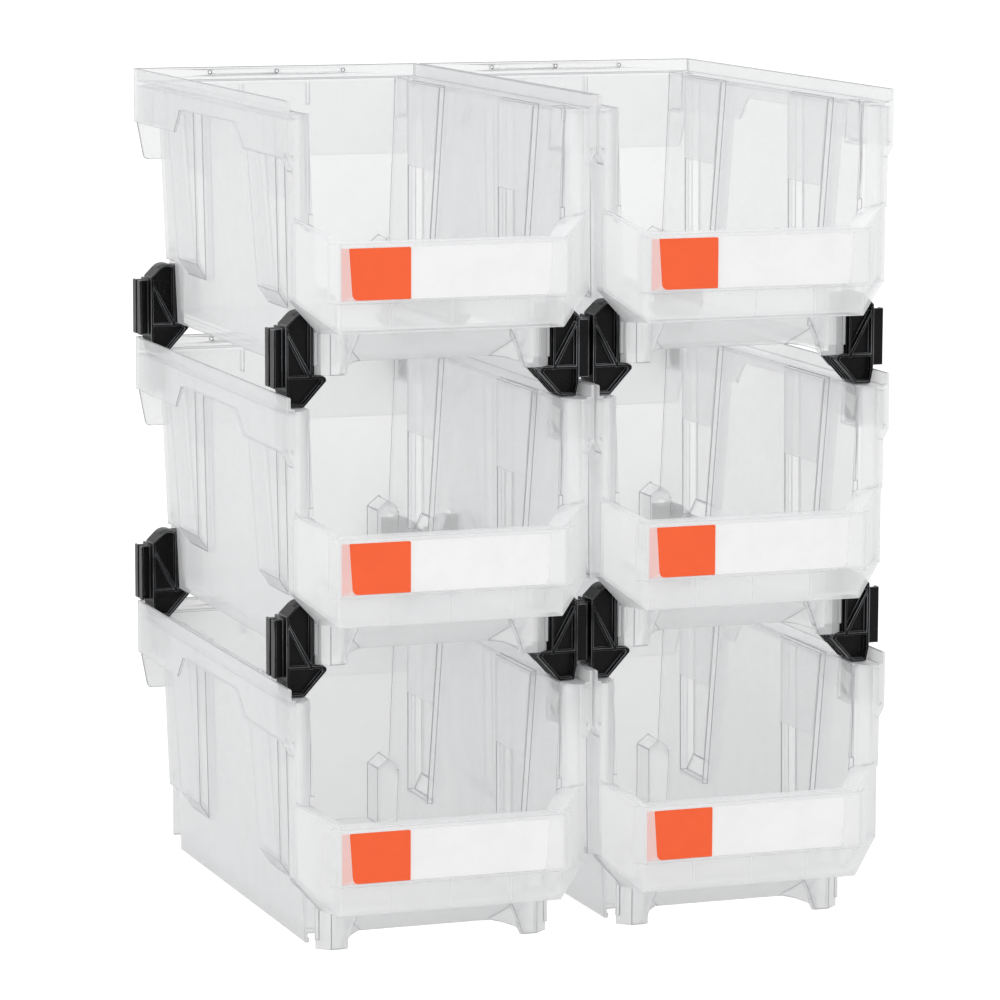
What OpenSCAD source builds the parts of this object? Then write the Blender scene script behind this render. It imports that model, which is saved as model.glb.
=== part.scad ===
// Stack of six hopper-front storage crates, two columns and three rows.
// Moulded clips stand in sockets of the lower crates and carry the crates above.
// Millimetres. X runs across the columns, Y from front to back, Z up.

/* [Crate] */
// Length of a crate from its open front to the back of the rim
crate_length = 357.6; // [340:0.2:380]
// Distance between the centre lines of the two columns
column_pitch = 210; // [209.6:0.1:216]
// Rim height above the feet
crate_height = 177; // [177:0.5:184]
// Height from one row's feet to the next row's feet
row_pitch = 188.2; // [188.2:0.2:196]
// Half width of a side wall at its foot
wall_foot = 81.4; // [80.8:0.1:81.6]
// Outward lean of the side walls, in millimetres per millimetre of height
wall_draft = 0.0412; // [0.036:0.0002:0.043]
// Moulded wall thickness
wall = 2; // [1.6:0.1:2.4]
// Half width over the rim band
rim_half = 104.2; // [103.8:0.1:104.3]
// Underside of the floor above the feet
floor_lift = 6; // [4:0.5:8]

/* [Panels] */
// How far the panels stand out of a side wall
panel_proud = 6.5; // [4:0.5:8]
// Height at which a panel is fully proud
panel_low = 49; // [46:1:60]

/* [Front] */
// How far the hopper front stands ahead of the rim
bay_reach = 20; // [16:0.5:24]
// Half width of the hopper's front face
bay_half = 75.3; // [72:0.1:76]
// Height of the hopper's front lip
bay_lip = 88; // [86:0.5:92]
// Height of the hopper's front lower edge
bay_low = 30; // [26:0.5:32]
// Height of the bottom of the card holder
holder_low = 50; // [48:0.5:52]
// Height of the hopper's underside over the feet
shelf = 27.6; // [26:0.2:28.6]
// Half width of the card holder
holder_half = 77.1; // [76.6:0.1:78]
// Depth of the card holder ahead of the hopper's front face
holder_deep = 4.6; // [4:0.1:5.4]

/* [Cards] */
// Length of a label card
card_length = 152; // [140:1:152]
// Height of a label card
card_height = 33.5; // [30:0.5:34]
// Length of the coloured tab at the left end
tab_length = 46.5; // [30:0.5:80]

/* [Clips] */
// Depth of a clip from front to back
clip_deep = 26; // [24:0.5:26]
// Outer face of a clip's side plate from the crate's centre line
clip_face = 100; // [99:0.1:100.4]
// Depth of a clip's tongue in its socket
tongue_long = 26; // [16:0.5:26.5]
// Height of a clip's shoulder above the upper crate's feet
clip_rise = 41.4; // [38:0.2:42]
// Reach of the coupling rails beyond the side plate
rail_reach = 7; // [6.4:0.1:7.4]

/* [Hidden] */
$fn = 48;
centre_y = (crate_length - bay_reach - holder_deep) / 2;
ledge_top = crate_height - 9.2;
ledge_low = ledge_top - 2.6;
back_out = crate_length - 5.6;
bay_side = 100.2;
post_back = 13;
niche_in = 65.2;
slot_top = clip_rise + 2;
front_clip = 17.5;
rear_clip = crate_length - 26.1;
clip_gap = row_pitch - ledge_top;
COLUMNS = ["left", "right"];
LEVELS = ["bottom", "middle", "top"];

// Outer face of a side wall at height z
function side(z) = wall_foot + wall_draft * z;

// Outline in Y and Z, extruded along X
module yz(points, x0, x1) {
    translate([x0, 0, 0])
        rotate([90, 0, 90])
            linear_extrude(x1 - x0)
                polygon(points);
}

// Outline in X and Z, extruded along Y
module xz(points, y0, y1) {
    translate([0, y1, 0])
        rotate([90, 0, 0])
            linear_extrude(y1 - y0)
                polygon(points);
}

// Outline in X and Y, extruded along Z
module xy(points, z0, z1) {
    translate([0, 0, z0])
        linear_extrude(z1 - z0)
            polygon(points);
}

// Box between two corners
module box(a, b) {
    translate(a)
        cube(b - a);
}

// A feature and its mirror image
module both() {
    children();
    mirror([1, 0, 0])
        children();
}

// Flat panel given by four corners and the step to its other face
module panel(a, b, c, d, step) {
    polyhedron(
        points = [a, b, c, d, a + step, b + step, c + step, d + step],
        faces = [
            [0, 1, 2], [0, 2, 3], [6, 5, 4], [7, 6, 4],
            [1, 0, 4], [4, 5, 1], [2, 1, 5], [5, 6, 2],
            [3, 2, 6], [6, 7, 3], [0, 3, 7], [7, 4, 0]
        ]
    );
}

// Section of a side wall, grown inward by t
module side_section(t, low, high, y0, y1) {
    xz([
        [side(low) - t, low], [side(low), low],
        [side(high), high], [side(high) - t, high]
    ], y0, y1);
}

// Outline of one proud panel, inset by t, from its front edge y0 to y1 at the top
module proud(y0, y1, t) {
    lean_front = 9;
    lean_back = 16;
    foot = panel_low - 10.5;
    intersection() {
        xz([
            [side(foot) - 6, foot - 1 + t * 1.2], [side(foot) - 0.7, foot - 1 + t * 1.2],
            [side(panel_low) + panel_proud - t, panel_low + t * 0.7],
            [side(ledge_low) + panel_proud - t, ledge_low - t + wall],
            [side(ledge_low) - 6, ledge_low - t + wall]
        ], y0 - 1, y1 + 1);
        yz([
            [y0 + lean_front + t, foot - 3], [y1 - lean_back - t, foot - 3],
            [y1 - t, ledge_low + 3], [y0 + t, ledge_low + 3]
        ], side(foot) - 7, side(ledge_low) + panel_proud + 1);
    }
}

// House-shaped pocket, open below, that clears a clip's shoulder
module pocket(y0, y1, t) {
    xz([
        [niche_in + t, -1], [side(0) - 1, -1], [side(0) - 1, 50.6 - t],
        [73.4, 55.8 - t * 1.3], [niche_in + t, 49 - t * 0.5]
    ], y0, y1);
}

// Side walls with their proud panels and the four clip notches
module walls() {
    both() {
        difference() {
            union() {
                side_section(wall, 0, ledge_low + 1, post_back - 1, back_out);
                proud(57.6, 126.4, 0);
                proud(243.8, 312.6, 0);
            }
            proud(57.6, 126.4, wall);
            proud(243.8, 312.6, wall);
            box([60, post_back - 2, -1], [100, 38.8, slot_top]);
            box([60, 330, -1], [100, back_out + 1, slot_top]);
        }
        box([side(0) - 3.2, 39.4, 0], [side(0) - 0.6, 329.4, 3]);
        niche(21.6, 38.8 + wall);
        niche(330 - wall, back_out - wall);
    }
}

// Pocket walls that stand up from the floor round a notch
module niche(y0, y1) {
    front = y0 < 100;
    difference() {
        union() {
            intersection() {
                pocket(front ? y0 - wall : y0, front ? y1 : y1 + wall, 0);
                yz([
                    [y0 - 5, floor_lift], [y1 + 5, floor_lift],
                    [y1 + 5, 70], [y0 - 5, 70]
                ], 50, 90);
            }
            if (front)
                box([side(0) - 2.4, y1 - wall, floor_lift], [side(0), y1, slot_top + 4]);
            if (!front)
                box([side(0) - 2.4, y0, floor_lift], [side(0), y0 + wall, slot_top + 4]);
            box([side(0) - 2.4, y0, slot_top], [side(slot_top) - 0.5, y1, slot_top + wall]);
        }
        pocket(front ? y0 : y0 + wall, front ? y1 - wall : y1, wall);
        box([60, front ? y0 : y0 + wall, -1], [niche_in, front ? y1 - wall : y1, 0]);
    }
}

// Raised floor, hopper ramp and back wall
module floor_and_back() {
    ramp = post_back;
    difference() {
        yz([
            [back_out, floor_lift], [37, floor_lift], [ramp, shelf],
            [ramp, shelf + 2.9], [37.6, floor_lift + 2.4], [back_out, floor_lift + 2.4]
        ], 0.8 - side(floor_lift), side(floor_lift) - 0.8);
        both() {
            box([niche_in + wall / 2, 21.6, -1], [100, 38.8, 40]);
            box([niche_in + wall / 2, 330, -1], [100, back_out - wall, 40]);
            box([57, 0, -1], [100, 21.6, shelf + 0.6]);
            box([79.8, 0, -1], [100, 21.7, shelf + 4]);
            box([niche_in, back_out - wall - 1, -1], [niche_in + 0.01, back_out - wall, 0]);
        }
    }
    panel(
        [-bay_half, -bay_reach, bay_low], [bay_half, -bay_reach, bay_low],
        [79.8, ramp + 0.2, shelf], [-79.8, ramp + 0.2, shelf], [0, 0, 2.4]
    );
    difference() {
        xz([
            [0.8 - side(floor_lift), floor_lift + 0.1], [side(floor_lift) - 0.8, floor_lift + 0.1],
            [side(ledge_low) - 0.8, ledge_low + 1.2], [0.8 - side(ledge_low), ledge_low + 1.2]
        ], back_out - wall, back_out);
        both()
            box([side(0) - 0.6, back_out - 5, -1], [100, back_out + 1, slot_top]);
    }
}

// Foot below a front corner, its shelf and the flank that sweeps back to the floor
module foot() {
    difference() {
        intersection() {
            xy([
                [46, 14], [71.5, 14], [79.8, 21.3], [79.8, 21.6],
                [46, 21.6]
            ], 0, shelf + 1);
            xz([
                [61.5, 0], [80, 0], [80, 40], [50, 40], [50.4, shelf], [52.6, 22.6],
                [55.4, 16.8], [58, 11], [60.2, 5]
            ], 10, 30);
        }
        intersection() {
            xy([[48, 16], [70.7, 16], [76.8, 21.4], [76.8, 23], [48, 23]], -1, 40);
            xz([
                [63.6, -1], [77.8, -1], [77.8, 41], [52.2, 41], [52.6, shelf], [54.8, 23.4],
                [57.4, 17.8], [60, 12], [62.2, 6]
            ], 10, 30);
        }
    }
    // shelf over the foot
    box([50.2, post_back, shelf], [79.8, 21.6, shelf + 2.4]);
    // flank
    intersection() {
        xy([
            [59.6, 14.6], [61.4, 14.6], [61.4, 21.6],
            [45.6, 37.4], [43.4, 37.4], [59.6, 21]
        ], 0, 40);
        yz([
            [14.6, 0], [21.6, 3.4], [28, 5.4], [37.4, 6.4], [37.4, 7.6],
            [post_back, shelf + 1.2]
        ], 40, 65);
    }
    xz([[niche_in, 12], [79.8, 12], [79.8, slot_top + 2], [niche_in, slot_top + 2]], 19.6, 21.6);
    box([77.8, 13, shelf], [79.8, 21.6, slot_top + 2]);
    box([77.8, 12, slot_top], [side(slot_top) - 0.5, 22, slot_top + wall]);
}

// Hopper front: face, angled cheeks, corner ramps and inward lip
module bay() {
    front = -bay_reach;
    box([-bay_half, front, bay_low], [bay_half, front + wall, bay_lip]);
    // lip over the front face
    xy([
        [-bay_half - 2, front], [bay_half + 2, front],
        [70.5, -6.5], [-70.5, -6.5]
    ], bay_lip - wall, bay_lip);
    both() {
        // angled cheek
        panel(
            [bay_half, front, bay_low], [bay_half, front, bay_lip],
            [bay_side, 2.4, 103], [bay_side, 2.4, 50.4], [-1.34, 1.49, 0]
        );
        // ramp under the cheek
        panel(
            [bay_half, front, bay_low], [bay_side, 2.4, 50.4],
            [bay_side, post_back, 49.6], [79.8, post_back, shelf], [0, 0, 2.6]
        );
        // lip over the cheek
        panel(
            [bay_half + 1, front + 0.4, bay_lip - wall], [bay_side, 1.5, 101],
            [84.8, 13.6, 95], [70.5, -6.5, bay_lip - wall], [0, 0, wall]
        );
        // back wall of the cheek
        difference() {
            xz([
                [79.8, shelf], [bay_side, 49.6], [bay_side, ledge_top],
                [side(ledge_low) - wall, ledge_top], [side(slot_top) - wall, slot_top], [77.8, slot_top],
                [77.8, shelf + 0.9]
            ], post_back - wall, post_back);
            xz([
                [side(104) - wall - 3, 104], [side(104) + 2, 104],
                [side(160) - 1, 160], [side(160) - 6, 160]
            ], 0, post_back + 1);
        }
        post();
    }
    // ribs below the card holder
    for (x = [-41.5, -1, 40])
        xz([[x - 0.6, bay_low + 3], [x + 0.6, bay_low + 3], [x + 0.6, holder_low + 1],
            [x - 0.6, holder_low + 1]], front - 0.5, front + 0.5);
}

// Front post between the hopper and the rim
module post() {
    yz([
        [2.4, 49.6], [post_back, 48.8], [post_back, ledge_top],
        [0, ledge_top], [0, 101], [2.4, 101]
    ], bay_side - wall, bay_side);
    // front plate and slanted face
    intersection() {
        xy([
            [bay_side - 0.1, 0], [95.4, 0], [84.4, 13.9], [84.4, 16.6],
            [96.3, 1.9], [bay_side - 0.1, 1.9]
        ], 90, ledge_top);
        xz([
            [side(92) - 1.2, 92], [97, 99.4], [101, 99.4],
            [101, ledge_top], [side(ledge_top) - 1.2, ledge_top]
        ], -1, 20);
    }
    // flare into the rim
    xz([
        [bay_side - wall, 130], [bay_side, 132], [rim_half, 139.5],
        [rim_half, 143], [rim_half - wall, 143], [bay_side - wall, 136]
    ], 0, post_back);
}

// Rim band, its ledge and the hanging skirts
module rim() {
    both() {
        yz([
            [0, 139.5], [0, crate_height], [crate_length, crate_height],
            [crate_length, 139.4], [257, 139.4], [243, 155],
            [119, 155.5], [99, 140], [20, 139.6]
        ], rim_half - wall, rim_half);
        difference() {
            xy([
                [bay_side, 0], [rim_half - wall / 2, 0], [rim_half - wall / 2, crate_length - wall / 2],
                [80, crate_length - wall / 2], [80, back_out - wall],
                [side(ledge_low) - wall, back_out - wall], [side(ledge_low) - wall, 16]
            ], ledge_low, ledge_top);
            box([88.6, 18, 141], [97, 39, 180]);
            box([88.6, rear_clip + 0.5, 141], [97, rear_clip + 21.5, 180]);
        }
        socket(front_clip);
        socket(rear_clip);
        // front end of the band
        xy([[bay_side - 1, 0], [rim_half, 0], [rim_half, wall], [bay_side - 1, wall]], 142, ledge_top + 1.6);
    }
    // back rim and hanging lip
    difference() {
        xz([
            [-rim_half, crate_height], [-rim_half, 166], [-102.4, 138.6],
            [-98.2, 116.4], [-97.3, 114.2], [-94.8, 113.3],
            [94.8, 113.3], [97.3, 114.2], [98.2, 116.4], [102.4, 138.6],
            [rim_half, 166], [rim_half, crate_height]
        ], crate_length - wall, crate_length);
        // pin holes along the band
        for (x = [-49, 0, 49])
            translate([x, crate_length + 1, 173.2])
                rotate([90, 0, 0])
                    cylinder(r = 0.9, h = wall + 2);
    }
    box([-82, back_out - wall, ledge_low], [82, crate_length - wall / 2, ledge_top]);
    for (x = [-27, 22])
        box([x - 0.8, back_out, 150], [x + 0.8, crate_length - wall / 2, ledge_top]);
}

// Clip socket hanging below the ledge
module socket(y0) {
    difference() {
        box([side(139.5) - 0.6, y0 - 1, 139.5], [98.5, y0 + 23, ledge_top]);
        box([88.6, y0 + 0.5, 141], [97, y0 + 21.5, 180]);
    }
}

// Card holder on the hopper's front face
module holder() {
    front = -bay_reach - holder_deep;
    back = -bay_reach + 0.2;
    difference() {
        xy([
            [-holder_half, front], [holder_half, front], [83.5, -18.1], [80.4, -15],
            [bay_half, back], [-bay_half, back], [-80.4, -15], [-83.5, -18.1]
        ], holder_low, bay_lip);
        // slot for the card
        box([-76.6, front + 1.2, holder_low + 1.2], [76.6, -bay_reach, bay_lip + 1]);
        // window
        window(front);
    }
}

// Window with rounded lower corners
module window(front) {
    r = 4;
    xz([
        [-71.2, bay_lip - 2.6], [-69.2, holder_low + 2 + r], [-68.2 + r, holder_low + 2],
        [63.4 - r, holder_low + 2], [64.4, holder_low + 2 + r], [66, bay_lip - 2.6]
    ], front - 1, front + 2);
    translate([-69 + r, front + 2, holder_low + 2 + r])
        rotate([90, 0, 0])
            cylinder(r = r, h = 3);
    translate([64.2 - r, front + 2, holder_low + 2 + r])
        rotate([90, 0, 0])
            cylinder(r = r, h = 3);
}

// One crate in its own frame
module crate() {
    color([0.9, 0.92, 0.93]) {
        walls();
        floor_and_back();
        both()
            foot();
        bay();
        rim();
        holder();
    }
}

// One label card
module card() {
    front = -bay_reach - holder_deep + 2.1;
    color([0.97, 0.97, 0.97])
        box([-card_length / 2, front, holder_low + 1.5],
            [card_length / 2, front + 0.8, holder_low + 1.5 + card_height]);
}

// One coloured tab lying on the left end of a card
module tab() {
    front = -bay_reach - holder_deep + 1.5;
    color([1, 0.4, 0.2])
        box([-card_length / 2, front, holder_low + 1.5],
            [-card_length / 2 + tab_length, front + 0.6, holder_low + 1.5 + card_height]);
}

// Shelf and wedge of a clip, between the two crates that it joins
module clip_wedge(y0, y1) {
    xz([
        [72.8, -1.9], [72.8, -3.6], [88, 0.3 - clip_gap], [98, 0.3 - clip_gap],
        [clip_face, -10.8], [clip_face, -0.4], [74.6, -0.4]
    ], y0, y1);
}

// Arched shoulder of a clip from x0 outward, its outline drawn in by t
module clip_shoulder(x0, y0, y1, t) {
    crown = 9;
    axis_z = clip_rise - crown;
    intersection() {
        union() {
            translate([87.6, y1, axis_z])
                rotate([90, 0, 0])
                    cylinder(r = crown - t, h = y1 - y0);
            xz([
                [x0, -1], [clip_face, -1], [clip_face, axis_z + crown * 1.4142 - 12.4 - t * 1.2],
                [87.6 + (crown - t) * 0.7071, axis_z + (crown - t) * 0.7071],
                [87.6, axis_z], [x0, axis_z]
            ], y0, y1);
        }
        box([x0 + t, y0 - 1, -1.2], [clip_face - t, y1 + 1, clip_rise + 1]);
    }
}

// One clip standing at the positive side of a crate
module clip(channel) {
    color([0.07, 0.07, 0.08]) {
        // wedge, open towards its slope between cross ribs and recessed in front
        difference() {
            clip_wedge(0, clip_deep);
            for (y = [6, 12, 18])
                xz([
                    [70, -3.2], [98.3, -3.2], [98.3, -10.4], [96.8, 1.9 - clip_gap],
                    [86, 1.9 - clip_gap], [70, -6]
                ], y, y + 4.6);
            // relief for the back rim of the crate below
            box([60, 23.6, -clip_gap - 1], [clip_face + 1, clip_deep + 1, -10.8]);
            xz([
                [76.2, -2], [98.5, -2], [98.5, -10.4], [96.8, 1.8 - clip_gap],
                [88.7, 1.8 - clip_gap], [75.6, -4]
            ], -1, 4.6);
        }
        // shoulder: a rim, a set-back web and a crown that is hollow from behind
        difference() {
            union() {
                clip_shoulder(82.2, 0, 18, 0);
                box([75, 4.6, -1], [84, 18, clip_rise - 1.2]);
            }
            clip_shoulder(82.2, -1, 4.6, 1.4);
            difference() {
                union() {
                    clip_shoulder(82.2, 6.4, 19, 1.8);
                    box([76.8, 6.4, 1.4], [86, 19, clip_rise - 3]);
                }
                box([84.6, 6, -2], [86.2, 20, clip_rise]);
                box([75, 6, -2], [clip_face, 20, 1.4]);
            }
        }
        // diagonal rib across the recess
        xz([
            [82.2, -2.4], [83.9, -2.4], [clip_face - 0.2, 28.2], [clip_face - 0.2, 31.2], [82.2, -0.6]
        ], 0, 5);
        // side plate
        box([clip_face - 1.8, 0, -10.8], [clip_face, clip_deep, clip_rise - 10.6]);
        // tongue
        difference() {
            xz([
                [89.2, 1 - clip_gap], [96.4, 1 - clip_gap], [96.4, 3 - clip_gap - tongue_long],
                [95.2, -clip_gap - tongue_long], [90.4, -clip_gap - tongue_long],
                [89.2, 3 - clip_gap - tongue_long]
            ], 1, 21);
            for (y = [2.8, 12])
                xz([
                    [88, -clip_gap - 3], [94.8, -clip_gap - 3],
                    [94.8, -clip_gap - tongue_long - 1], [88, -clip_gap - tongue_long - 1]
                ], y, y + 7.2);
        }
        if (channel)
            rail_channel();
        else
            rail_tee();
    }
}

// Coupling rail with two heads
module rail_tee() {
    reach = clip_face + rail_reach;
    difference() {
        union() {
            box([clip_face - 1, 7.6, -8], [reach - 1, 19.4, 30]);
            box([reach - 1.7, 4.5, -8], [reach, 22.5, 30]);
        }
        box([clip_face + 1, 11.6, -9], [reach + 1, 15.4, 31]);
    }
}

// Coupling rail that wraps the two heads
module rail_channel() {
    reach = clip_face + rail_reach;
    for (y = [0.5, 24.2])
        box([clip_face - 1, y, -8], [reach, y + 1.8, 30]);
    box([reach - 1.7, 0.5, -8], [reach, 6.3, 30]);
    box([reach - 1.7, 20.7, -8], [reach, 26, 30]);
}

// Move a piece from a crate's frame to its place in the stack
module place(column, level) {
    translate([(column * 2 - 1) * column_pitch / 2, -centre_y, level * row_pitch])
        children();
}

// One clip of a crate: side is -1 or 1, y0 is its front face
module placed_clip(column, level, side, y0) {
    place(column, level)
        translate([0, y0, 0])
            if (side > 0)
                clip(true);
            else
                mirror([1, 0, 0])
                    clip(false);
}

module crate_bottom_left() { place(0, 0) crate(); }
module crate_bottom_right() { place(1, 0) crate(); }
module crate_middle_left() { place(0, 1) crate(); }
module crate_middle_right() { place(1, 1) crate(); }
module crate_top_left() { place(0, 2) crate(); }
module crate_top_right() { place(1, 2) crate(); }
module card_bottom_left() { place(0, 0) card(); }
module card_bottom_right() { place(1, 0) card(); }
module card_middle_left() { place(0, 1) card(); }
module card_middle_right() { place(1, 1) card(); }
module card_top_left() { place(0, 2) card(); }
module card_top_right() { place(1, 2) card(); }
module tab_bottom_left() { place(0, 0) tab(); }
module tab_bottom_right() { place(1, 0) tab(); }
module tab_middle_left() { place(0, 1) tab(); }
module tab_middle_right() { place(1, 1) tab(); }
module tab_top_left() { place(0, 2) tab(); }
module tab_top_right() { place(1, 2) tab(); }
module clip_low_left_front_out() { placed_clip(0, 1, -1, front_clip); }
module clip_low_left_front_in() { placed_clip(0, 1, 1, front_clip); }
module clip_low_left_rear_out() { placed_clip(0, 1, -1, rear_clip); }
module clip_low_left_rear_in() { placed_clip(0, 1, 1, rear_clip); }
module clip_low_right_front_in() { placed_clip(1, 1, -1, front_clip); }
module clip_low_right_front_out() { placed_clip(1, 1, 1, front_clip); }
module clip_low_right_rear_in() { placed_clip(1, 1, -1, rear_clip); }
module clip_low_right_rear_out() { placed_clip(1, 1, 1, rear_clip); }
module clip_high_left_front_out() { placed_clip(0, 2, -1, front_clip); }
module clip_high_left_front_in() { placed_clip(0, 2, 1, front_clip); }
module clip_high_left_rear_out() { placed_clip(0, 2, -1, rear_clip); }
module clip_high_left_rear_in() { placed_clip(0, 2, 1, rear_clip); }
module clip_high_right_front_in() { placed_clip(1, 2, -1, front_clip); }
module clip_high_right_front_out() { placed_clip(1, 2, 1, front_clip); }
module clip_high_right_rear_in() { placed_clip(1, 2, -1, rear_clip); }
module clip_high_right_rear_out() { placed_clip(1, 2, 1, rear_clip); }

crate_bottom_left();
crate_bottom_right();
crate_middle_left();
crate_middle_right();
crate_top_left();
crate_top_right();
card_bottom_left();
card_bottom_right();
card_middle_left();
card_middle_right();
card_top_left();
card_top_right();
tab_bottom_left();
tab_bottom_right();
tab_middle_left();
tab_middle_right();
tab_top_left();
tab_top_right();
clip_low_left_front_out();
clip_low_left_front_in();
clip_low_left_rear_out();
clip_low_left_rear_in();
clip_low_right_front_in();
clip_low_right_front_out();
clip_low_right_rear_in();
clip_low_right_rear_out();
clip_high_left_front_out();
clip_high_left_front_in();
clip_high_left_rear_out();
clip_high_left_rear_in();
clip_high_right_front_in();
clip_high_right_front_out();
clip_high_right_rear_in();
clip_high_right_rear_out();
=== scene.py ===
"""Clear stacking crates with black corner clips: surfaces, label cards and studio."""

import math

import bmesh
import bpy
from mathutils import Euler, Matrix, Vector
from mathutils.bvhtree import BVHTree


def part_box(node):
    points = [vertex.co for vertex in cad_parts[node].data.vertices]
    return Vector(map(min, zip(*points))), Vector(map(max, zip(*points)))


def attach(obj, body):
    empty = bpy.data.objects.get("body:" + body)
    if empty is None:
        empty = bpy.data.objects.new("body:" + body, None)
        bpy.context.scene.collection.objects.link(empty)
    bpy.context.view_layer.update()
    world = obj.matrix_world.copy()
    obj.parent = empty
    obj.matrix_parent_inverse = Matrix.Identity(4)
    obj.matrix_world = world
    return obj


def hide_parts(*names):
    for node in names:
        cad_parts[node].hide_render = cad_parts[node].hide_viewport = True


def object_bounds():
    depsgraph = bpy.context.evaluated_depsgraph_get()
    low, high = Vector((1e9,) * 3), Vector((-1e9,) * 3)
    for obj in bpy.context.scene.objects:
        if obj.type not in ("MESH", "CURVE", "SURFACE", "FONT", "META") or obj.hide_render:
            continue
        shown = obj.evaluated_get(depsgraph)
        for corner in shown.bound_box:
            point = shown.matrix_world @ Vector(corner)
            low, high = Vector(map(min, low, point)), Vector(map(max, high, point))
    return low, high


bl_info = {
    "name": "Clear Stacking Crates",
    "version": (1, 0, 0),
    "blender": (4, 5, 0),
    "location": "View3D > Sidebar > Crates",
    "description": "Finishes a coupled stack of clear storage crates and lights it",
    "category": "Object",
}

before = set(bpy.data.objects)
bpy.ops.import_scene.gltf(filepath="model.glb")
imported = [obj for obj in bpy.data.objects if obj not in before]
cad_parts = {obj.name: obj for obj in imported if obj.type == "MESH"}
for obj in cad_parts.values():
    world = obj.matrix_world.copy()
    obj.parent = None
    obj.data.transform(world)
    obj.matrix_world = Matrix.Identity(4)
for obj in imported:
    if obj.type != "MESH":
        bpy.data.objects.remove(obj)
CAD_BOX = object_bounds()

LEVELS = ("bottom", "middle", "top")
COLUMNS = ("left", "right")
PLACES = [(level, column) for level in LEVELS for column in COLUMNS]
ROW_OF_CLIP = {"low": "bottom_row", "high": "middle_row"}

# Depth at which the leaning hopper begins, and how softly its lighter painted edge shade sets
# in there.
HOPPER_Y = CAD_BOX[0].y + 0.0246
HOPPER_BLEND = (-0.001, 0.004)

# Points this close together are one point, and faces this close to flat are one face.
MERGE_DISTANCE = 2e-6
FLAT_ANGLE = math.radians(1.0)

# An edge leaves its neighbour to a side where more than SIDEWAYS of its length does. A
# rounding takes at most REACH_SHARE of the room beside it, and a point that ends up further
# than SNAP_SHARE of the radius off the CAD surface is put back on it.
SIDEWAYS = 0.3
REACH_SHARE = 0.42
SNAP_SHARE = 0.75

# Segments of a rounding, and the smallest angle in degrees that is rounded. Its faces are
# told from the flats by their material slot until the edges are marked.
SHELL_ROUNDING = (3, 20)
CLIP_ROUNDING = (2, 25)
ROUNDED_SLOT = 1

# Pin holes: how many, and how far the rings stand in from the back face.
PINS_A_CRATE = 3
PIN_INSET = 0.0020
RING_SIDES = 20
BEAD_SIDES = 8

# Steps in each round corner of a card.
CORNER_STEPS = 4

# Finishes. Grain: how fine its stipple and its flow marks are, and its depth. Roughness:
# from the smoothest to the roughest grain, whose noise mostly lies in FINE_SPREAD.
SHELL_GRAIN = (1400.0, 7.0, 0.12)
CLIP_GRAIN = (1800.0, 30.0, 0.25)
PAPER_GRAIN = (2600.0, 60.0, 0.15)
SHELL_ROUGHNESS = (0.26, 0.40)
CLIP_ROUGHNESS = (0.24, 0.40)
CARD_ROUGHNESS = (0.49, 0.63)
TAB_ROUGHNESS = (0.36, 0.50)
FINE_SPREAD = (0.3, 0.7)

# The shells' painted edge shade grows with a power of the turn away from the eye, up to a
# share, and their haze varies from cloud to cloud.
EDGE_POWER = 3.0
EDGE_SHARE = 0.6
CLOUDS = (0.86, 1.14)

# How much lighter the clips' mottled patches and how much darker the cards' fibres are.
CLIP_LIGHTER = 2.2
FIBRE_DIMMER = 0.965

# The floor lies a little under the feet. Its own light is FLOOR_GLOW where it is seen
# directly; through the plastic it goes from the first to the second value of VEILED_GLOW
# between the two distances that follow them.
FLOOR_SIZE = 12.0
FLOOR_DROP = 0.0004
FLOOR_GLOW = 0.45
# Through the plastic this glow makes a painted shade, darker close to the stack.
VEILED_GLOW = (0.0, 0.38, 0.3, 3.2)

# How many clear faces a line of sight may cross.
CLEAR_LAYERS = 64

# Lamps: name, place, side of the square in metres, and watts.
LAMP_AIM = (0.0, 0.0, 0.3)
LAMPS = (
    ("key", (-2.6, -1.6, 1.4), 1.8, 9.0),
    ("fill", (0.4, -3.4, 1.3), 1.6, 4.0),
    ("top", (0.2, 0.6, 2.6), 2.2, 9.0),
)

# Sockets of the Mix node for numbers and for colours, which share their names.
NUMBER_A, NUMBER_B, NUMBER_MIXED = 2, 3, 0
COLOUR_A, COLOUR_B, COLOUR_MIXED = 6, 7, 2


# ---------------------------------------------------------------- settings


class ShellSettings(bpy.types.PropertyGroup):
    """Clear crate mouldings"""

    edge: bpy.props.FloatProperty(
        name="Edge radius", description="Rounding of the moulded edges",
        default=0.0008, min=0.0001, max=0.0009, unit="LENGTH", precision=5,
    )
    tint: bpy.props.FloatVectorProperty(
        name="Tint", description="Colour of the frosted plastic seen face on",
        subtype="COLOR", size=3, default=(0.905, 0.91, 0.915), min=0.0, max=1.0,
    )
    # Painted shade: the dark grey put along the shells' edges, standing in for refraction.
    rim_shade_paint: bpy.props.FloatVectorProperty(
        name="Edge tint", description="Colour of the plastic seen edge on",
        subtype="COLOR", size=3, default=(0.33, 0.34, 0.36), min=0.0, max=1.0,
    )
    # Painted shade on the hopper's edges, kept lighter so they stay milky.
    hopper_rim_shade_paint: bpy.props.FloatVectorProperty(
        name="Hopper edge tint", description="Colour of the hopper's edges, which stay milky",
        subtype="COLOR", size=3, default=(0.80, 0.81, 0.82), min=0.0, max=1.0,
    )
    haze: bpy.props.FloatProperty(
        name="Haze", description="How much one wall hides what is behind it",
        subtype="FACTOR", default=0.38, min=0.0, max=1.0,
    )
    glow: bpy.props.FloatProperty(
        name="Glow", description="How much more freely light passes than sight does",
        subtype="FACTOR", default=0.85, min=0.0, max=0.9,
    )
    edge_haze: bpy.props.FloatProperty(
        name="Edge haze", description="How much a wall seen edge on hides",
        subtype="FACTOR", default=0.80, min=0.0, max=1.0,
    )


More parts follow.
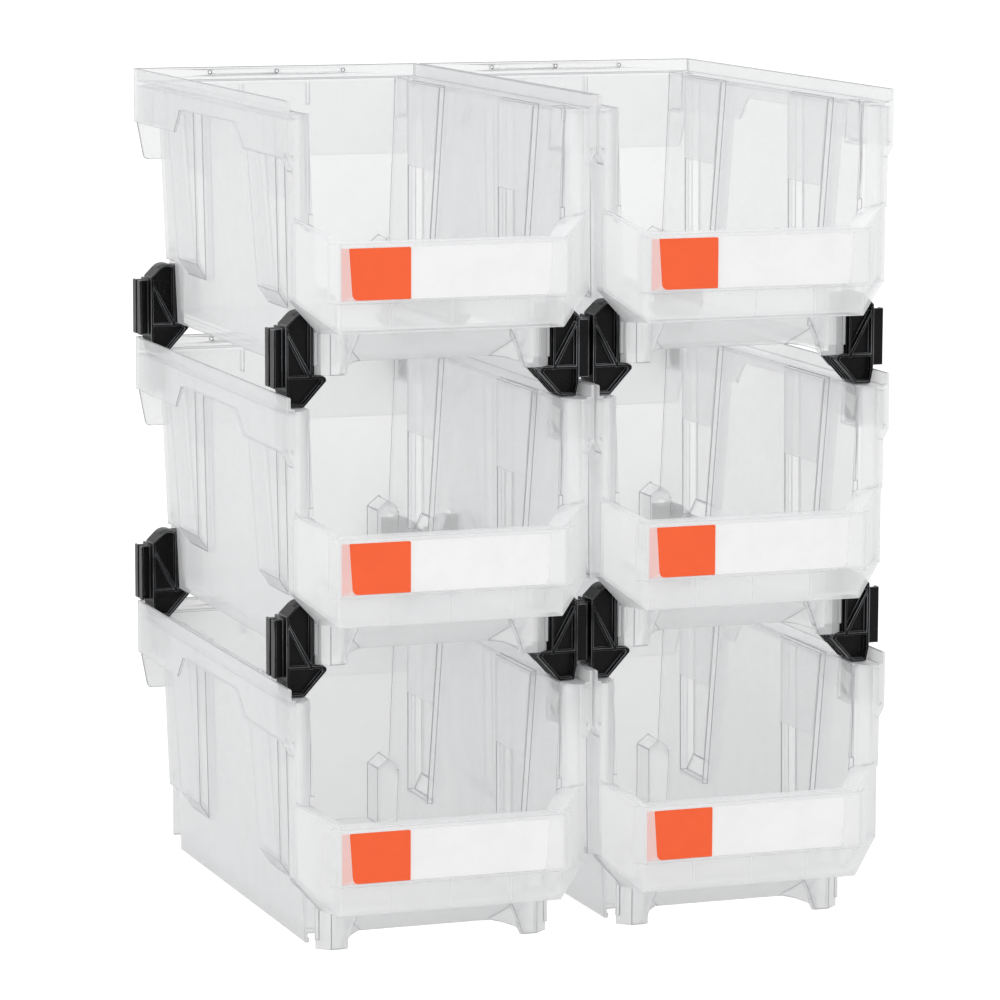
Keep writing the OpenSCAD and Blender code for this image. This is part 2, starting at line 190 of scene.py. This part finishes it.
class EyeletSettings(bpy.types.PropertyGroup):
    """Raised rings round the pin holes of the back bands, painted dark grey as the holes'
    shade
    """

    pitch: bpy.props.FloatProperty(
        name="Pitch", description="Distance between two pin holes",
        default=0.049, min=0.02, max=0.08, unit="LENGTH", precision=4,
    )
    radius: bpy.props.FloatProperty(
        name="Radius", description="Radius of a ring",
        default=0.00095, min=0.0008, max=0.003, unit="LENGTH", precision=5,
    )
    bead: bpy.props.FloatProperty(
        name="Bead", description="Radius of the bead that forms a ring",
        default=0.0002, min=0.0001, max=0.0006, unit="LENGTH", precision=5,
    )
    drop: bpy.props.FloatProperty(
        name="Drop", description="Height of the holes below the rim",
        default=0.0038, min=0.002, max=0.02, unit="LENGTH", precision=4,
    )
    # Painted shade: the rings' dark grey stands for the shade of the pin holes.
    colour: bpy.props.FloatVectorProperty(
        name="Colour", description="Colour of a ring",
        subtype="COLOR", size=3, default=(0.18, 0.19, 0.20), min=0.0, max=1.0,
    )


class ClipSettings(bpy.types.PropertyGroup):
    """Black corner clips"""

    edge: bpy.props.FloatProperty(
        name="Edge radius", description="Rounding of the moulded edges",
        default=0.0005, min=0.0001, max=0.0008, unit="LENGTH", precision=5,
    )
    colour: bpy.props.FloatVectorProperty(
        name="Colour", description="Colour of the clip plastic",
        subtype="COLOR", size=3, default=(0.002, 0.002, 0.0024), min=0.0, max=1.0,
    )
    # Painted highlight: light grey painted along the clips' edges.
    painted_highlight: bpy.props.FloatVectorProperty(
        name="Glinting edge", description="Colour of the rubbed edges",
        subtype="COLOR", size=3, default=(0.30, 0.31, 0.32), min=0.0, max=1.0,
    )


class LabelSettings(bpy.types.PropertyGroup):
    """Label cards and colour tabs"""

    card: bpy.props.FloatVectorProperty(
        name="Card", description="Colour of the blank card",
        subtype="COLOR", size=3, default=(0.97, 0.97, 0.97), min=0.0, max=1.0,
    )
    tab: bpy.props.FloatVectorProperty(
        name="Tab", description="Colour of the tab",
        subtype="COLOR", size=3, default=(1.0, 0.115, 0.018), min=0.0, max=1.0,
    )
    corner: bpy.props.FloatProperty(
        name="Corner radius", description="Rounding of the card corners",
        default=0.0012, min=0.0003, max=0.004, unit="LENGTH", precision=4,
    )


class StudioSettings(bpy.types.PropertyGroup):
    """Camera, floor and lamps"""

    lens: bpy.props.FloatProperty(
        name="Lens", description="Focal length on a 36 mm sensor, in millimetres",
        default=171.396, min=50.0, max=300.0,
    )
    camera_at: bpy.props.FloatVectorProperty(
        name="Camera place", description="Where the camera stands",
        subtype="TRANSLATION", size=3, default=(-1.104703, -3.026062, 0.754384),
    )
    camera_turn: bpy.props.FloatVectorProperty(
        name="Camera turn", description="How the camera is turned",
        subtype="EULER", size=3,
        default=(math.radians(81.376281), math.radians(-0.206145), math.radians(-19.93549)),
    )
    floor: bpy.props.FloatVectorProperty(
        name="Floor", description="Colour of the floor",
        subtype="COLOR", size=3, default=(0.72, 0.72, 0.72), min=0.0, max=1.0,
    )
    sky: bpy.props.FloatProperty(
        name="Surround light", description="Strength of the even light from all round",
        default=0.95, min=0.0, max=2.0,
    )


# ---------------------------------------------------------------- meshes


def merged_copy(node):
    """Working mesh of a CAD node with its doubles merged and its flats made whole."""
    mesh = bmesh.new()
    mesh.from_mesh(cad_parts[node].data)
    bmesh.ops.remove_doubles(mesh, verts=mesh.verts, dist=MERGE_DISTANCE)
    bmesh.ops.dissolve_limit(
        mesh, angle_limit=FLAT_ANGLE, use_dissolve_boundaries=False,
        verts=mesh.verts, edges=mesh.edges, delimit={"NORMAL"},
    )
    return mesh


def free_reach(edge):
    """Length of the shortest edge that leaves this edge's ends to a side."""
    line = (edge.verts[1].co - edge.verts[0].co).normalized()
    reach = 1.0
    for vert in edge.verts:
        for other in vert.link_edges:
            if other is edge:
                continue
            side = other.other_vert(vert).co - vert.co
            across = side.cross(line).length
            if across > SIDEWAYS * side.length:
                reach = min(reach, across)
    return reach


def plain_mesh(piece, name):
    """Mesh of an object with its modifiers applied; the object goes."""
    bpy.context.view_layer.update()
    graph = bpy.context.evaluated_depsgraph_get()
    result = bpy.data.meshes.new_from_object(piece.evaluated_get(graph), depsgraph=graph)
    result.name = name
    bpy.data.objects.remove(piece)
    return result


def linked_object(name, data):
    """New object at the origin, in the scene."""
    piece = bpy.data.objects.new(name, data)
    bpy.context.scene.collection.objects.link(piece)
    return piece


def rounded_copy(node, radius, rounding):
    """Mesh of a CAD node with its sharp edges rounded.

    Its attribute edge_mark is 1 along the middle of each rounding. The flats are cut into
    triangles before the rounding, because many-sided faces with holes don't survive it.
    """
    segments, least = rounding
    mesh = merged_copy(node)
    skin = BVHTree.FromBMesh(mesh)
    weight = mesh.edges.layers.float.new("bevel_weight_edge")
    for edge in mesh.edges:
        if edge.is_manifold and edge.calc_face_angle(0.0) > math.radians(least):
            edge[weight] = min(1.0, REACH_SHARE * free_reach(edge) / radius)
    bmesh.ops.triangulate(mesh, faces=[face for face in mesh.faces if len(face.verts) > 4])
    data = bpy.data.meshes.new(node + "_work")
    mesh.to_mesh(data)
    mesh.free()
    data.materials.clear()
    for _ in range(ROUNDED_SLOT + 1):
        data.materials.append(None)
    work = linked_object(node + "_work", data)
    bevel = work.modifiers.new("rounding", "BEVEL")
    bevel.width = radius
    bevel.segments = segments
    bevel.limit_method = "WEIGHT"
    bevel.use_clamp_overlap = False
    bevel.miter_outer = "MITER_SHARP"
    bevel.material = ROUNDED_SLOT
    bevel.harden_normals = True
    result = plain_mesh(work, node + "_round")
    bpy.data.meshes.remove(data)
    for vert in result.vertices:
        near, _, _, away = skin.find_nearest(vert.co)
        if away > SNAP_SHARE * radius:
            vert.co = near
    inner = [True] * len(result.vertices)
    for face in result.polygons:
        if face.material_index != ROUNDED_SLOT:
            for vert in face.vertices:
                inner[vert] = False
        face.material_index = 0
    mark = result.attributes.new("edge_mark", "FLOAT", "POINT")
    mark.data.foreach_set("value", [float(flag) for flag in inner])
    return result


def piece_from(source, name, shift, material, body, replaced):
    """Finished piece from a mesh moved into place; it stands for a CAD node."""
    data = source.copy()
    data.name = name
    data.transform(Matrix.Translation(shift))
    data.materials.clear()
    data.materials.append(material)
    piece = linked_object(name, data)
    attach(piece, body)
    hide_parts(replaced)


# ---------------------------------------------------------------- shader parts


class Nodes:
    """Short hand for building a node tree."""

    def __init__(self, tree):
        self.tree = tree
        self.tree.nodes.clear()

    def add(self, kind, **values):
        node = self.tree.nodes.new(kind)
        for key, value in values.items():
            setattr(node, key, value)
        return node

    def link(self, source, target):
        self.tree.links.new(source, target)

    def maths(self, operation, first, second, clamp=False):
        """Result of a sum on two values, each a number or a socket."""
        node = self.add("ShaderNodeMath", operation=operation, use_clamp=clamp)
        for value, socket in zip((first, second), node.inputs):
            if isinstance(value, bpy.types.NodeSocket):
                self.link(value, socket)
            else:
                socket.default_value = value
        return node.outputs["Value"]


def grain_group():
    """Mould grain: a fine stipple and slow flow marks of an injection moulding."""
    name = "mould_grain"
    if name in bpy.data.node_groups:
        return bpy.data.node_groups[name]
    tree = bpy.data.node_groups.new(name, "ShaderNodeTree")
    face = tree.interface
    for label, value in (("Stipple", 900.0), ("Flow", 9.0), ("Depth", 0.3)):
        socket = face.new_socket(label, in_out="INPUT", socket_type="NodeSocketFloat")
        socket.default_value = value
    face.new_socket("Fine", in_out="OUTPUT", socket_type="NodeSocketFloat")
    face.new_socket("Slow", in_out="OUTPUT", socket_type="NodeSocketFloat")
    face.new_socket("Normal", in_out="OUTPUT", socket_type="NodeSocketVector")
    n = Nodes(tree)
    gin, gout = n.add("NodeGroupInput"), n.add("NodeGroupOutput")
    where = n.add("ShaderNodeTexCoord")
    fine = n.add("ShaderNodeTexNoise")
    fine.inputs["Detail"].default_value = 2.0
    slow = n.add("ShaderNodeTexNoise")
    slow.inputs["Detail"].default_value = 3.0
    slow.inputs["Distortion"].default_value = 0.6
    bump = n.add("ShaderNodeBump")
    bump.inputs["Distance"].default_value = 0.0002
    for target in (fine, slow):
        n.link(where.outputs["Object"], target.inputs["Vector"])
    n.link(gin.outputs["Stipple"], fine.inputs["Scale"])
    n.link(gin.outputs["Flow"], slow.inputs["Scale"])
    n.link(gin.outputs["Depth"], bump.inputs["Strength"])
    n.link(fine.outputs["Fac"], bump.inputs["Height"])
    n.link(fine.outputs["Fac"], gout.inputs["Fine"])
    n.link(slow.outputs["Fac"], gout.inputs["Slow"])
    n.link(bump.outputs["Normal"], gout.inputs["Normal"])
    return tree


def span(n, source, low, high, start=0.0, stop=1.0):
    """Maps a value from start..stop to low..high."""
    node = n.add("ShaderNodeMapRange")
    node.inputs["From Min"].default_value = start
    node.inputs["From Max"].default_value = stop
    node.inputs["To Min"].default_value = low
    node.inputs["To Max"].default_value = high
    n.link(source, node.inputs["Value"])
    return node.outputs["Result"]


def blend_colour(n, factor, first, second):
    """Mixes two colours by a factor."""
    node = n.add("ShaderNodeMix", data_type="RGBA")
    n.link(factor, node.inputs["Factor"])
    for socket, value in ((node.inputs[COLOUR_A], first), (node.inputs[COLOUR_B], second)):
        if isinstance(value, bpy.types.NodeSocket):
            n.link(value, socket)
        else:
            socket.default_value = (*value, 1.0)
    return node.outputs[COLOUR_MIXED]


def new_material(name):
    """Material with a bare Principled BSDF, its nodes and that shader."""
    material = bpy.data.materials.new(name)
    material.use_nodes = True
    n = Nodes(material.node_tree)
    out = n.add("ShaderNodeOutputMaterial")
    skin = n.add("ShaderNodeBsdfPrincipled")
    n.link(skin.outputs["BSDF"], out.inputs["Surface"])
    return material, n, skin


def placed_grain(n, stipple, flow, depth):
    """The mould grain in a material, with its own values."""
    grain = n.add("ShaderNodeGroup", node_tree=grain_group())
    for label, value in (("Stipple", stipple), ("Flow", flow), ("Depth", depth)):
        grain.inputs[label].default_value = value
    return grain.outputs


def edge_marks(n):
    """1 along the middle of the rounded edges."""
    return n.add("ShaderNodeAttribute", attribute_name="edge_mark").outputs["Fac"]


def shell_material(s, name="clear_polypropylene", tint=None):
    """Natural polypropylene: milky face on, denser at its edges and greyed there by painted
    shade.
    """
    material, n, skin = new_material(name)
    grain = placed_grain(n, *SHELL_GRAIN)
    facing = n.add("ShaderNodeLayerWeight")
    facing.inputs["Blend"].default_value = 0.5
    n.link(grain["Normal"], facing.inputs["Normal"])
    turned = n.maths("POWER", facing.outputs["Facing"], EDGE_POWER)
    edge = n.maths("MAXIMUM", span(n, turned, 0.0, EDGE_SHARE), edge_marks(n))

    where = n.add("ShaderNodeTexCoord")
    axes = n.add("ShaderNodeSeparateXYZ")
    n.link(where.outputs["Object"], axes.inputs["Vector"])
    front, back = (HOPPER_Y + shift for shift in HOPPER_BLEND)
    hopper = span(n, axes.outputs["Y"], 1.0, 0.0, front, back)
    # Painted shade: edges and faces turned from the eye are greyed towards the edge shade,
    # less on the hopper.
    painted_edge_shade = blend_colour(n, hopper, tuple(s.rim_shade_paint), tuple(s.hopper_rim_shade_paint))
    n.link(blend_colour(n, edge, tint or tuple(s.tint), painted_edge_shade), skin.inputs["Base Color"])

    haze = span(n, edge, s.haze, s.edge_haze)
    cloud = span(n, grain["Slow"], *CLOUDS, *FINE_SPREAD)
    cloudy = n.maths("MULTIPLY", haze, cloud, clamp=True)
    path = n.add("ShaderNodeLightPath")
    lit = n.maths("MAXIMUM", path.outputs["Is Shadow Ray"], path.outputs["Is Diffuse Ray"])
    veil = n.maths("MULTIPLY", cloudy, span(n, lit, 1.0, 1.0 - s.glow))
    n.link(veil, skin.inputs["Alpha"])

    n.link(span(n, grain["Fine"], *SHELL_ROUGHNESS, *FINE_SPREAD), skin.inputs["Roughness"])
    n.link(grain["Normal"], skin.inputs["Normal"])
    skin.inputs["IOR"].default_value = 1.49
    return material


def clip_material(s):
    """Black moulded plastic: fine satin grain, with a painted highlight along its edges."""
    material, n, skin = new_material("black_clip_plastic")
    grain = placed_grain(n, *CLIP_GRAIN)
    dark = tuple(s.colour)
    lighter = tuple(c * CLIP_LIGHTER for c in dark)
    body = blend_colour(n, span(n, grain["Slow"], 0.0, 1.0, 0.35, 0.7), dark, lighter)
    # Painted highlight along the rounded edges, its strength broken up by the slow grain.
    glinting = span(n, grain["Slow"], 0.25, 1.0, 0.35, 0.65)
    painted_highlight = n.maths("MULTIPLY", edge_marks(n), glinting)
    n.link(blend_colour(n, painted_highlight, body, tuple(s.painted_highlight)), skin.inputs["Base Color"])
    n.link(span(n, grain["Fine"], *CLIP_ROUGHNESS, *FINE_SPREAD), skin.inputs["Roughness"])
    n.link(grain["Normal"], skin.inputs["Normal"])
    skin.inputs["IOR"].default_value = 1.5
    skin.inputs["Specular IOR Level"].default_value = 0.12
    return material


def paper_material(name, colour, roughness):
    """Card stock: faint fibres in colour and roughness."""
    material, n, skin = new_material(name)
    grain = placed_grain(n, *PAPER_GRAIN)
    dim = tuple(c * FIBRE_DIMMER for c in colour)
    fibres = span(n, grain["Slow"], 0.0, 1.0, 0.35, 0.65)
    n.link(blend_colour(n, fibres, colour, dim), skin.inputs["Base Color"])
    gloss = span(n, grain["Fine"], *roughness, *FINE_SPREAD)
    n.link(gloss, skin.inputs["Roughness"])
    n.link(grain["Normal"], skin.inputs["Normal"])
    return material


# ---------------------------------------------------------------- repeated rings


def eyelet_tree():
    """Row of rings: count, pitch, radius and bead are inputs."""
    tree = bpy.data.node_groups.new("pin_eyelets", "GeometryNodeTree")
    face = tree.interface
    face.new_socket("Geometry", in_out="INPUT", socket_type="NodeSocketGeometry")
    for label, kind in (
        ("Count", "NodeSocketInt"), ("Pitch", "NodeSocketFloat"),
        ("Radius", "NodeSocketFloat"), ("Bead", "NodeSocketFloat"),
        ("Start", "NodeSocketVector"), ("Turn", "NodeSocketVector"),
        ("Material", "NodeSocketMaterial"),
    ):
        face.new_socket(label, in_out="INPUT", socket_type=kind)
    face.new_socket("Geometry", in_out="OUTPUT", socket_type="NodeSocketGeometry")
    n = Nodes(tree)
    gin, gout = n.add("NodeGroupInput"), n.add("NodeGroupOutput")
    step = n.add("ShaderNodeCombineXYZ")
    line = n.add("GeometryNodeMeshLine", mode="OFFSET")
    ring = n.add("GeometryNodeCurvePrimitiveCircle")
    ring.inputs["Resolution"].default_value = RING_SIDES
    wire = n.add("GeometryNodeCurvePrimitiveCircle")
    wire.inputs["Resolution"].default_value = BEAD_SIDES
    bead = n.add("GeometryNodeCurveToMesh")
    spread = n.add("GeometryNodeInstanceOnPoints")
    real = n.add("GeometryNodeRealizeInstances")
    paint = n.add("GeometryNodeSetMaterial")
    n.link(gin.outputs["Pitch"], step.inputs["X"])
    n.link(gin.outputs["Count"], line.inputs["Count"])
    n.link(gin.outputs["Start"], line.inputs["Start Location"])
    n.link(step.outputs["Vector"], line.inputs["Offset"])
    n.link(gin.outputs["Radius"], ring.inputs["Radius"])
    n.link(gin.outputs["Bead"], wire.inputs["Radius"])
    n.link(ring.outputs["Curve"], bead.inputs["Curve"])
    n.link(wire.outputs["Curve"], bead.inputs["Profile Curve"])
    n.link(line.outputs["Mesh"], spread.inputs["Points"])
    n.link(bead.outputs["Mesh"], spread.inputs["Instance"])
    n.link(gin.outputs["Turn"], spread.inputs["Rotation"])
    n.link(spread.outputs["Instances"], real.inputs["Geometry"])
    n.link(real.outputs["Geometry"], paint.inputs["Geometry"])
    n.link(gin.outputs["Material"], paint.inputs["Material"])
    n.link(paint.outputs["Geometry"], gout.inputs["Geometry"])
    return tree


def grown_piece(name, tree, values):
    """Plain mesh of a node tree's result with these inputs."""
    seed = linked_object(name + "_seed", bpy.data.meshes.new(name + "_seed"))
    modifier = seed.modifiers.new("grow", "NODES")
    modifier.node_group = tree
    for item in tree.interface.items_tree:
        if item.in_out == "INPUT" and item.name in values:
            modifier[item.identifier] = values[item.name]
    return plain_mesh(seed, name)


# ---------------------------------------------------------------- operators


def body_of_crate(level, column):
    """Body that carries a crate: the lower rows move as one, the top crates alone."""
    return f"top_{column}" if level == "top" else f"{level}_row"


class CRATES_OT_shells(bpy.types.Operator):
    """Finish the six clear crate mouldings"""

    bl_idname = "crates.shells"
    bl_label = "Crate Shells"

    def execute(self, context):
        s = context.scene.crate_shells
        material = shell_material(s)
        first = "crate_bottom_left"
        mesh = rounded_copy(first, s.edge, SHELL_ROUNDING)
        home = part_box(first)[0]
        for level, column in PLACES:
            node = f"crate_{level}_{column}"
            piece_from(
                mesh, f"shell_{level}_{column}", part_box(node)[0] - home,
                material, body_of_crate(level, column), node,
            )
        return {"FINISHED"}


class CRATES_OT_clips(bpy.types.Operator):
    """Finish the sixteen black corner clips"""

    bl_idname = "crates.clips"
    bl_label = "Corner Clips"

    def execute(self, context):
        s = context.scene.crate_clips
        material = clip_material(s)
        kinds = {}
        for node in sorted(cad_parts):
            if not node.startswith("clip_"):
                continue
            _, row, column, end, side = node.split("_")
            # The left side of a crate takes one kind of rail, its right side the other.
            kind = (column == "left") == (side == "out")
            if kind not in kinds:
                kinds[kind] = (rounded_copy(node, s.edge, CLIP_ROUNDING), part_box(node)[0])
            mesh, home = kinds[kind]
            piece_from(
                mesh, f"black_{row}_{column}_{end}_{side}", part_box(node)[0] - home,
                material, ROW_OF_CLIP[row], node,
            )
        return {"FINISHED"}


def sheet_mesh(low, high, corner):
    """Thin upright card between two corners, its four corners rounded."""
    mesh = bmesh.new()
    outline = []
    for cx, cz, start in (
        (high.x - corner, low.z + corner, -90), (high.x - corner, high.z - corner, 0),
        (low.x + corner, high.z - corner, 90), (low.x + corner, low.z + corner, 180),
    ):
        for step in range(CORNER_STEPS + 1):
            turn = math.radians(start + step * 90.0 / CORNER_STEPS)
            outline.append((cx + corner * math.cos(turn), cz + corner * math.sin(turn)))
    front = [mesh.verts.new((x, low.y, z)) for x, z in outline]
    back = [mesh.verts.new((x, high.y, z)) for x, z in outline]
    mesh.faces.new(front)
    mesh.faces.new(list(reversed(back)))
    for i in range(len(front)):
        j = (i + 1) % len(front)
        mesh.faces.new((front[j], front[i], back[i], back[j]))
    bmesh.ops.recalc_face_normals(mesh, faces=mesh.faces)
    data = bpy.data.meshes.new("sheet")
    mesh.to_mesh(data)
    mesh.free()
    return data


class CRATES_OT_eyelets(bpy.types.Operator):
    """Add the rings round the pin holes of each back band"""

    bl_idname = "crates.eyelets"
    bl_label = "Pin Eyelets"

    def execute(self, context):
        s = context.scene.crate_eyelets
        tree = eyelet_tree()
        shells = context.scene.crate_shells
        # The rings take the shell finish, with a dark grey painted shade in place of its
        # tint.
        material = shell_material(shells, "eyelet_painted_shade", tuple(s.colour))
        for level, column in PLACES:
            low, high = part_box(f"crate_{level}_{column}")
            first = (low.x + high.x) / 2 - s.pitch * (PINS_A_CRATE - 1) / 2
            name = f"eyelets_{level}_{column}"
            data = grown_piece(name, tree, {
                "Count": PINS_A_CRATE, "Pitch": s.pitch, "Radius": s.radius, "Bead": s.bead,
                "Start": (first, high.y - PIN_INSET, high.z - s.drop),
                "Turn": (math.pi / 2, 0.0, 0.0), "Material": material,
            })
            piece = linked_object(name, data)
            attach(piece, body_of_crate(level, column))
        return {"FINISHED"}


class CRATES_OT_labels(bpy.types.Operator):
    """Make the label cards and their colour tabs"""

    bl_idname = "crates.labels"
    bl_label = "Label Cards"

    def execute(self, context):
        s = context.scene.crate_labels
        kinds = {
            "card": paper_material("white_card", tuple(s.card), CARD_ROUGHNESS),
            "tab": paper_material("orange_tab", tuple(s.tab), TAB_ROUGHNESS),
        }
        for level, column in PLACES:
            for kind, material in kinds.items():
                node = f"{kind}_{level}_{column}"
                mesh = sheet_mesh(*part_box(node), s.corner)
                piece_from(
                    mesh, f"label_{node}", Vector(), material,
                    f"label_{level}_{column}", node,
                )
        return {"FINISHED"}


def area_lamp(name, place, size, power):
    """Square lamp that looks at the object."""
    lamp = bpy.data.lights.new(name, "AREA")
    lamp.shape = "RECTANGLE"
    lamp.size = lamp.size_y = size
    lamp.energy = power
    holder = linked_object(name, lamp)
    holder.location = place
    holder.rotation_mode = "QUATERNION"
    holder.rotation_quaternion = (Vector(LAMP_AIM) - Vector(place)).to_track_quat("-Z", "Y")


def seen_ray(n):
    """1 for rays that the camera, a gloss or a glass sees."""
    path = n.add("ShaderNodeLightPath")
    direct = n.maths("MAXIMUM", path.outputs["Is Camera Ray"], path.outputs["Is Glossy Ray"])
    return n.maths("MAXIMUM", direct, path.outputs["Is Transmission Ray"])


def floor_material(colour):
    """Pale floor that keeps the object's shadow and fades into the backdrop.

    Seen through the plastic, its glow is cut close to the object as painted shade, so it is
    greyer there.
    """
    material = bpy.data.materials.new("studio_floor")
    material.use_nodes = True
    n = Nodes(material.node_tree)
    out = n.add("ShaderNodeOutputMaterial")
    skin = n.add("ShaderNodeBsdfDiffuse")
    skin.inputs["Color"].default_value = (*colour, 1.0)
    glow = n.add("ShaderNodeEmission")
    path = n.add("ShaderNodeLightPath")
    where = n.add("ShaderNodeTexCoord")
    away = n.add("ShaderNodeVectorMath", operation="LENGTH")
    n.link(where.outputs["Object"], away.inputs[0])
    # Painted shade: through the plastic the floor's glow fades out towards the stack.
    fade = n.add("ShaderNodeMix")
    n.link(path.outputs["Transparent Depth"], fade.inputs["Factor"])
    fade.inputs[NUMBER_A].default_value = FLOOR_GLOW
    n.link(span(n, away.outputs["Value"], *VEILED_GLOW), fade.inputs[NUMBER_B])
    lift = n.maths("MULTIPLY", seen_ray(n), fade.outputs[NUMBER_MIXED])
    n.link(lift, glow.inputs["Strength"])
    both = n.add("ShaderNodeAddShader")
    n.link(skin.outputs["BSDF"], both.inputs[0])
    n.link(glow.outputs["Emission"], both.inputs[1])
    n.link(both.outputs["Shader"], out.inputs["Surface"])
    return material


def surround(world, strength):
    """White where it is seen, and an even light of this strength elsewhere."""
    world.use_nodes = True
    n = Nodes(world.node_tree)
    out = n.add("ShaderNodeOutputWorld")
    mix = n.add("ShaderNodeMixShader")
    n.link(seen_ray(n), mix.inputs["Fac"])
    for power, socket in ((strength, mix.inputs[1]), (1.0, mix.inputs[2])):
        light = n.add("ShaderNodeBackground")
        light.inputs["Color"].default_value = (1.0, 1.0, 1.0, 1.0)
        light.inputs["Strength"].default_value = power
        n.link(light.outputs["Background"], socket)
    n.link(mix.outputs["Shader"], out.inputs["Surface"])


class CRATES_OT_studio(bpy.types.Operator):
    """Set up the camera, the pale floor and the soft lamps"""

    bl_idname = "crates.studio"
    bl_label = "Studio"

    def execute(self, context):
        scene = context.scene
        s = scene.crate_studio
        camera = bpy.data.cameras.new("studio_camera")
        camera.lens = s.lens
        camera.sensor_width = 36.0
        camera.clip_start, camera.clip_end = 0.1, 60.0
        holder = linked_object("studio_camera", camera)
        holder.location = s.camera_at
        holder.rotation_euler = Euler(s.camera_turn)
        scene.camera = holder

        mesh = bmesh.new()
        bmesh.ops.create_grid(mesh, x_segments=1, y_segments=1, size=FLOOR_SIZE)
        data = bpy.data.meshes.new("studio_floor")
        mesh.to_mesh(data)
        mesh.free()
        data.materials.append(floor_material(tuple(s.floor)))
        floor = linked_object("studio_floor", data)
        floor.location.z = -FLOOR_DROP

        scene.world = bpy.data.worlds.new("studio_surround")
        surround(scene.world, s.sky)
        for name, place, size, power in LAMPS:
            area_lamp(name, place, size, power)

        scene.view_settings.view_transform = "Standard"
        scene.cycles.transparent_max_bounces = CLEAR_LAYERS
        return {"FINISHED"}


class CRATES_PT_panel(bpy.types.Panel):
    """Steps and sizes of the crate stack"""

    bl_idname = "CRATES_PT_panel"
    bl_label = "Clear Stacking Crates"
    bl_space_type = "VIEW_3D"
    bl_region_type = "UI"
    bl_category = "Crates"

    def draw(self, context):
        for group, step in (
            ("crate_shells", "crates.shells"), ("crate_eyelets", "crates.eyelets"),
            ("crate_clips", "crates.clips"), ("crate_labels", "crates.labels"),
            ("crate_studio", "crates.studio"),
        ):
            box = self.layout.box()
            box.operator(step)
            values = getattr(context.scene, group)
            for name in values.__annotations__:
                box.prop(values, name)


GROUPS = {
    "crate_shells": ShellSettings, "crate_eyelets": EyeletSettings,
    "crate_clips": ClipSettings, "crate_labels": LabelSettings,
    "crate_studio": StudioSettings,
}
CLASSES = (
    *GROUPS.values(), CRATES_OT_shells, CRATES_OT_eyelets, CRATES_OT_clips,
    CRATES_OT_labels, CRATES_OT_studio, CRATES_PT_panel,
)


def register():
    """Registers the classes and hangs the settings on the scene."""
    for cls in CLASSES:
        bpy.utils.register_class(cls)
    for name, group in GROUPS.items():
        setattr(bpy.types.Scene, name, bpy.props.PointerProperty(type=group))


def unregister():
    """Takes back what register did."""
    for name in GROUPS:
        delattr(bpy.types.Scene, name)
    for cls in reversed(CLASSES):
        bpy.utils.unregister_class(cls)


def main():
    """Builds the whole scene."""
    register()
    bpy.ops.crates.shells()
    bpy.ops.crates.eyelets()
    bpy.ops.crates.clips()
    bpy.ops.crates.labels()
    bpy.ops.crates.studio()


if __name__ == "__main__":
    main()
